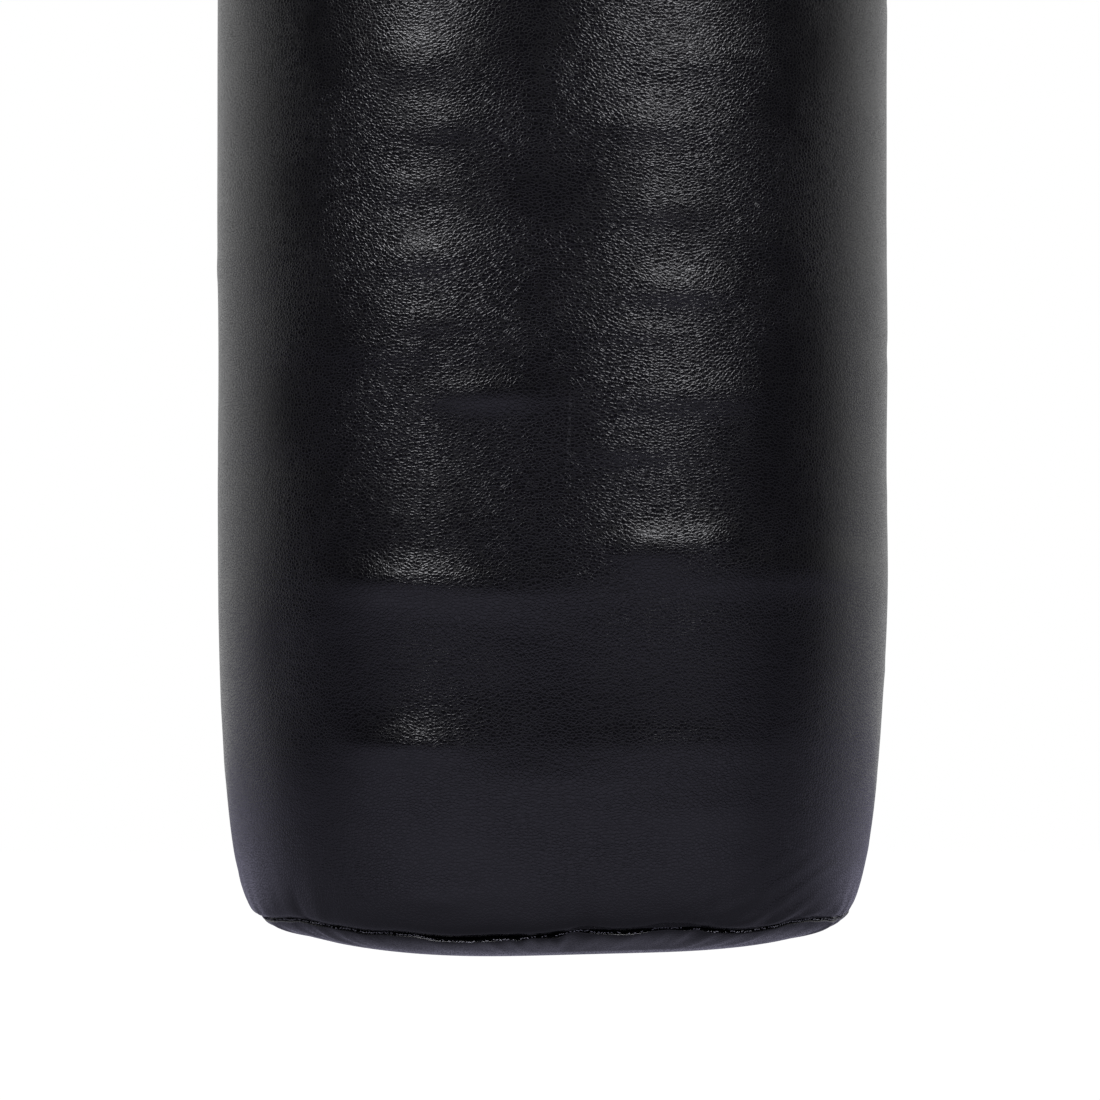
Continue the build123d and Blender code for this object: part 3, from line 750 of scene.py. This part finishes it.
def makeInside():
    # The lining, the bottom pad and the seam's turned-in layers follow the seam's rise and fall.
    columns = 180
    angle = around(columns)
    wave = seamWave(angle)
    allowance = (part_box("bottom_seam_allowance")[1][2] - seamZ) * 0.8
    turnedIn = seamRadius - 0.013
    outer = seamRadius - 0.006
    lower, upper = seamZ + wave, seamZ + allowance + wave
    loop = [(turnedIn, lower), (outer, lower), (outer, upper), (turnedIn, upper)]
    ring = turned("bottom_seam_layers", loop, columns)
    dress(ring, endLeather)
    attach(ring, "bag")
    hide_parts("bottom_seam_allowance")

    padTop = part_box("bottom_pad")[1][2] - 0.0005
    loop = [bottomRow(angle, a, 0.004) for a in np.linspace(86, 8, 14)]
    loop += [(turnedIn - 0.001, seamZ + wave * 0.8), (turnedIn - 0.001, seamZ + 0.004 + wave)]
    for t in np.linspace(0.012, 0.06, 7):
        radius, z = wallOutline(float(t))
        if z < padTop - 0.002:
            loop.append((radius - 0.006, z + 0.005 + seamWave(angle) * 0.5))
    loop += [(loop[-1][0], padTop), (seamRadius * 0.5, padTop)]
    pad = turned("bottom_pad_foam", loop[::-1], columns, tips=(padTop, seamZ - bulge + 0.005))
    dress(pad, foamFinish)
    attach(pad, "bag")
    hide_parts("bottom_pad")

    outside, inside = [], []
    for t in np.linspace(0.008, 0.985, 60):
        radius, z = wallOutline(float(t))
        low = max(0.0, 1 - (z - seamZ) / 0.045)
        outside.append((radius - 0.0021, z + seamWave(angle) * low + 0.003 * low))
        inside.append((radius - 0.0029, z + seamWave(angle) * low + 0.0035 * low))
    cloth = turned("lining_bag", outside + inside[::-1], columns)
    dress(cloth, liningFinish)
    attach(cloth, "bag")
    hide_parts("lining")


makeInside()
print("bottom made")


backSeam = {
    "width": 0.026,
    "thick": 0.0017,
    "rowAt": 0.009,      # each stitch row's distance from the middle
    "pitch": 0.0046,
    "half": 0.0017,      # half a stitch's length
}


def makeBackSeam():
    # The leather strip that covers the upright join at the back, from seam to seam.
    def place(t, u, v):
        angle = np.array([180 + 180 / pi * u / bagRadius])
        radius, z = wallRow(angle, t)
        out = float(radius[0]) + backSeam["thick"] / 2 + v
        return tuple(onWall(float(angle[0]), out, float(z[0])))

    rows = [float(t) for t in np.linspace(0.006, 0.994, 130)]
    piece = band("back_seam_strip", rows, backSeam["width"], backSeam["thick"], place, 0.0009, 9)
    dress(piece, endLeather)
    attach(piece, "bag")
    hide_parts("side_back_seam")
    runs = []
    steps = int((topZ - seamZ) / backSeam["pitch"])
    for across in (-backSeam["rowAt"], backSeam["rowAt"]):
        places = [0.01 + 0.98 * i / steps for i in range(steps + 1)]
        spots = [Vector(place(t, across, backSeam["thick"] / 2)) for t in places]
        for low, high in zip(spots, spots[1:]):
            middle = (low + high) / 2
            runs.append((middle, high - low, (middle.x, middle.y, 0), backSeam["half"]))
    addStitches("back_seam_thread", runs, darkThread)


makeBackSeam()
print("back seam made")


strap = {
    "width": 0.040,
    "webbing": 0.0024,
    "layerAt": 0.00125,      # each layer's distance from the doubled strap's middle
    "middleAt": 0.0026,      # that middle's distance from the casing
    "lean": 30.0,
    "free": 0.026,
    "sewn": 0.300,
    "loop": 0.0043,
    "facing": {"back_right": 135, "back_left": 225, "front_left": 315, "front_right": 45},
    "stitch": 0.0044,        # from stitch to stitch
    "seamAt": 0.0165,        # the long rows' distance from the middle
    "box": (0.128, 0.294),   # the sewn box's ends, down from the top seam
    "cross": (0.178, 0.248), # and its cross's
}


def strapLine():
    # The doubled strap's middle line from its sewn end to the D-ring's bar.
    # Each place has a radius, a height, its outward direction and how far it bends round the bag.
    a = bagRadius - topRadius + strap["middleAt"]
    b = side["topShoulder"] + strap["middleAt"]
    low = topZ - side["topShoulder"]
    lean = radians(strap["lean"])
    leave = atan(tan(lean) * b / a)
    out = bagRadius + strap["middleAt"]
    line = [(out, z, 1.0, 0.0, 1.0) for z in np.linspace(topZ - strap["sewn"], low, 46)]
    for t in np.linspace(0, leave, 30)[1:]:
        out = Vector((b * cos(t), a * sin(t))).normalized()
        line.append((topRadius + a * cos(t), low + b * sin(t), out.x, out.y, 1.0 - 0.25 * t / leave))
    r, z = line[-1][:2]
    for t in np.linspace(0, 1, 14)[1:]:
        run = strap["free"] * t
        line.append((r - run * sin(lean), z + run * cos(lean), cos(lean), sin(lean), 0.75 * (1 - t) ** 1.5))
    return line


def makeStraps():
    line = strapLine()
    parting = 9          # rows before the bar where the two layers part
    rows = []
    for i, (r, z, outR, outZ, bend) in enumerate(line):
        near = max(0.0, 1 - (len(line) - 1 - i) / parting)
        away = strap["layerAt"] + (strap["loop"] - strap["layerAt"]) * near * near * (3 - 2 * near)
        rows.append((r, z, outR, outZ, bend, away))
    r, z, outR, outZ = rows[-1][:4]
    upR, upZ = -outZ, outR
    path = [(r + away * dirR, z + away * dirZ, dirR, dirZ, bend) for r, z, dirR, dirZ, bend, away in rows]
    for t in np.linspace(0, pi, 17)[1:-1]:
        dirR, dirZ = outR * cos(t) + upR * sin(t), outZ * cos(t) + upZ * sin(t)
        path.append((r + strap["loop"] * dirR, z + strap["loop"] * dirZ, dirR, dirZ, 0.0))
    for r, z, outR, outZ, bend, away in rows[::-1]:
        path.append((r - away * outR, z - away * outZ, -outR, -outZ, bend))
    sewnOut = bagRadius + strap["middleAt"] + strap["layerAt"] + strap["webbing"] / 2
    for name, facing in strap["facing"].items():
        def place(row, u, v):
            r, z, outR, outZ, bend = row
            radius = r + v * outR
            out = radius * (1 - bend + bend * cos(u / radius))
            sideways = (1 - bend) * u + bend * radius * sin(u / radius)
            spot = onWall(facing, out, z + v * outZ) + onWall(facing + 90, sideways, 0)
            return tuple(spot)

        piece = band(f"webbing_{name}", path, strap["width"], strap["webbing"], place)
        dress(piece, webbingFinish)
        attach(piece, "bag")
        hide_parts(f"strap_{name}")

        # Two long rows, bars across and a cross between the rivets.
        aside = strap["seamAt"]
        boxTop, boxFoot = strap["box"]
        top, foot = strap["cross"]
        corners = [(-aside, boxTop), (-aside, boxFoot), (aside, boxFoot), (aside, boxTop)]
        lines = list(zip(corners, corners[1:] + corners[:1]))
        lines += [((-aside, top), (aside, top)), ((-aside, foot), (aside, foot))]
        lines += [((-aside, top), (aside, foot)), ((aside, top), (-aside, foot))]
        runs = []
        for (u0, drop0), (u1, drop1) in lines:
            count = max(1, round(hypot(u1 - u0, drop1 - drop0) / strap["stitch"]))
            for i in range(count):
                t = (i + 0.5) / count
                u = u0 + (u1 - u0) * t
                turn = facing + 180 / pi * u / sewnOut
                spot = onWall(turn, sewnOut, topZ - drop0 - (drop1 - drop0) * t)
                along = onWall(turn + 90, u1 - u0, -(drop1 - drop0))
                runs.append((spot, along, onWall(turn, 1, 0), 0.0016))
        addStitches(f"webbing_thread_{name}", runs, darkThread, 0.00045)


makeStraps()
print("straps made")


zipper = {
    "half": 0.135,
    "slotHalf": 0.0057,
    "coilInner": 0.00055,
    "coilOuter": 0.0038,
    "pitch": 0.0019,
    "tapeFrom": 0.0008,
    "tapeWidth": 0.015,
    "tapeThick": 0.0008,
    "stitchAt": 0.0035,  # the edge stitches' distance from the slot
    "stitch": 0.0042,
}


def makeTop():
    # The round top panel: from the folded edges of the zip's slot out to the seam.
    columns = 480
    angle = around(columns)
    rad = np.radians(angle)
    east, north = np.sin(rad), -np.cos(rad)
    slotX = zipper["half"] * np.clip(1.42 * east, -1, 1)
    slotY = zipper["slotHalf"] * np.clip(1.42 * north, -1, 1)
    rim = topRadius - 0.0008
    above, below = [], []
    for t in list(np.linspace(0, 0.12, 9)) + list(np.linspace(0.12, 1.0, 34)[1:]):
        x = slotX * (1 - t) + rim * east * t
        y = slotY * (1 - t) + rim * north * t
        far = np.hypot(x - slotX, y - slotY)
        nearRim = np.clip(1 - (rim - np.hypot(x, y)) / 0.03, 0, 1)
        # The slot's edge is turned under, so it is thicker for the first few millimetres.
        fold = 0.0006 * (1 - 1 / (1 + np.exp(-(far - 0.0065) / 0.0006)))
        fold = fold - 0.0007 * np.exp(-(far / 0.0008) ** 2)
        sag = -0.0012 * np.clip(far / 0.03, 0, 1) * (1 - nearRim)
        ripple = 0.0004 * np.sin(x * 60 + 1.0) * np.sin(y * 80 + 0.5) * (1 - nearRim)
        gather = 0.00045 * pucker(angle + 3, 6.0) * nearRim ** 2 - 0.0192 * np.clip(nearRim - 0.95, 0, 1)
        z = topZ + 0.0016 + fold + sag + ripple + gather
        above.append(np.stack([x, y, z], axis=-1))
        below.append(np.stack([x, y, np.minimum(z - 0.0013, topZ + 0.0004)], axis=-1))
    rows = above + below[::-1]
    faces = ringFaces(len(rows), columns)
    piece = addMesh("bag_top", np.concatenate(rows).tolist(), faces)
    dress(piece, endLeather)
    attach(piece, "bag")
    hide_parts("top_panel")
    runs = []
    edgeX, edgeY = zipper["half"] + zipper["stitchAt"], zipper["slotHalf"] + zipper["stitchAt"]
    corners = [Vector((edgeX * i, edgeY * j)) for i, j in ((-1, -1), (1, -1), (1, 1), (-1, 1))]
    for start, end in zip(corners, corners[1:] + corners[:1]):
        count = round((end - start).length / zipper["stitch"])
        for i in range(count):
            spot = start + (end - start) * (i + 0.5) / count
            runs.append(((*spot, topZ + 0.00225), (*(end - start), 0), (0, 0, 1), 0.0015))
    addStitches("zip_edge_thread", runs, darkThread)


def makeZip():
    reach = zipper["half"] + 0.008
    for word, sign in (("front", -1), ("back", 1)):
        middle = sign * (zipper["tapeFrom"] + zipper["tapeWidth"] / 2)

        def place(x, u, v):
            return (x, middle + u, topZ - zipper["tapeThick"] / 2 + v)

        tape = band(f"zip_tape_{word}", [float(x) for x in np.linspace(-reach, reach, 90)],
                    zipper["tapeWidth"], zipper["tapeThick"] - 0.00005, place, 0.0004, 9)
        dress(tape, tapeFinish)
        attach(tape, "bag")
        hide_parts("zip_tapes")
    half = (zipper["coilOuter"] - zipper["coilInner"]) / 2
    teeth = []
    count = int((2 * zipper["half"] - 0.010) / zipper["pitch"])
    for i in range(count):
        x = -count * zipper["pitch"] / 2 + (i + 0.5) * zipper["pitch"]
        for sign in (-1, 1):
            y = sign * (zipper["coilInner"] + half)
            teeth.append(((x + sign * zipper["pitch"] / 4, y, topZ + 0.0008), (0, sign, 0), (0, 0, 1), half))
    coil = addStitches("zip_teeth", teeth, nylonFinish, 0.00062, tall=1.75)
    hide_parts("zip_coils")


makeTop()
makeZip()
print("top and zip made")


studio = {
    "distance": 2.120,
    "aside": -0.0013,                     # the camera stands a hair to the left
    "cameraRise": 0.187,                  # above the bottom seam
    "fieldOfView": 15.5,
    "floorDrop": 0.55,
    "floorHalf": 8.0,
    "floorNear": (0.095, 0.090, 0.134),   # the floor's light just below the bag
    "floorFar": (0.40, 0.385, 0.525),     # and out in front of it
    "floorReach": (0.9, 2.3),
    "shadeBehind": 0.6,                   # how far behind the bag the painted shadow in the floor's glow is centred
    "floorFade": (2.6, 7.0, 0.35),        # from here to here the floor dims to this share
    "roomDark": 0.006,                    # the room's light behind the camera
    "roomLight": 0.58,                    # and behind the bag
    "lampTint": (0.96, 0.96, 1.0),
    "lampDistance": 2.2,
    "lampHeight": 1.0,
}

camera = bpy.data.objects.new("camera", bpy.data.cameras.new("camera"))
camera.data.sensor_width = 36
camera.data.angle = radians(studio["fieldOfView"])
camera.location = (studio["aside"], -studio["distance"], seamZ + studio["cameraRise"])
camera.rotation_euler = (radians(90), 0, 0)
camera.data.clip_end = 50
bpy.context.scene.collection.objects.link(camera)
bpy.context.scene.camera = camera


def makeFloor():
    z = panelLow[2] - studio["floorDrop"]
    half = studio["floorHalf"]
    corners = [(-half, -half, z), (half, -half, z), (half, half, z), (-half, half, z)]
    piece = addMesh("floor", corners, [[0, 1, 2, 3]], False)
    finish = Finish("paleFloor", Roughness=0.9, Specular_IOR_Level=0.0)
    finish.shader.inputs["Base Color"].default_value = (0.15, 0.15, 0.16, 1)
    # Seen straight on, the floor is as white as the backdrop; it gives the bag only a low light from below.
    path = finish.node("LightPath", output="Is Camera Ray")
    x, y, up = finish.parts(finish.node("TexCoord", output="Object"))
    # Painted shadow: the floor's glow is darkest round a spot just behind the bag, as if in its shadow, and
    # brighter further out.
    rear = y - studio["shadeBehind"]
    near = (x * x + rear * rear).math("SQRT").remap(*studio["floorReach"])
    away = (x * x + y * y).math("SQRT")
    fadeFrom, fadeTo, share = studio["floorFade"]
    lit = near * away.remap(fadeFrom, fadeTo, 1.0, share)
    # The floor's glow is painted dimmer to both sides, where the room is dark.
    lit = lit * abs(y.math("DIVIDE", away)).remap(0.1, 0.6, 0.25, 1.0)
    glow = finish.mixColour(studio["floorNear"], studio["floorFar"], lit)
    finish.shader.inputs["Emission Strength"].default_value = 1.0
    finish.use(Emission_Color=finish.mixColour(glow, (1, 1, 1), path))
    dress(piece, finish)


makeFloor()


def makeWorld():
    world = bpy.data.worlds.new("studio")
    bpy.context.scene.world = world
    world.use_nodes = True
    world.node_tree.nodes.clear()
    room = NodeTree(world.node_tree)
    # The room is dark behind the camera and white behind the bag.
    depth = room.parts(room.node("TexCoord", output="Generated"))[1]
    strength = depth.remap(0.12, 0.66, studio["roomDark"], studio["roomLight"])
    dim = room.node("Background", None, {"Color": (1, 1, 1), "Strength": strength})
    white = room.node("Background", None, {"Color": (1, 1, 1), "Strength": 1.0})
    path = room.node("LightPath", output="Is Camera Ray")
    both = room.node("MixShader", None, {0: path, 1: dim, 2: white})
    out = world.node_tree.nodes.new("ShaderNodeOutputWorld")
    room.feed(out.inputs["Surface"], both)


makeWorld()


def softBox(name, azimuth, rise, width, power):
    # A soft box at an angle from the front (degrees, right is positive), aimed at the bag's axis.
    distance, lookZ = studio["lampDistance"], camera.location.z
    light = bpy.data.lights.new(name, "AREA")
    light.shape = "RECTANGLE"
    light.size, light.size_y = width, studio["lampHeight"]
    light.energy = power
    light.color = studio["lampTint"]
    lamp = bpy.data.objects.new(name, light)
    a = radians(azimuth)
    lamp.location = (distance * sin(a), -distance * cos(a), lookZ + rise)
    aim = Vector((0, 0, lookZ)) - lamp.location
    lamp.rotation_euler = aim.to_track_quat("-Z", "Y").to_euler()
    lamp.visible_camera = False
    bpy.context.scene.collection.objects.link(lamp)


softBox("leftBox", -45, 1.46, 0.85, 33)
softBox("rightBox", 40, 1.48, 1.25, 40)

scene = bpy.context.scene
scene.view_settings.view_transform = "Standard"
scene.view_settings.look = "None"

print("studio made")
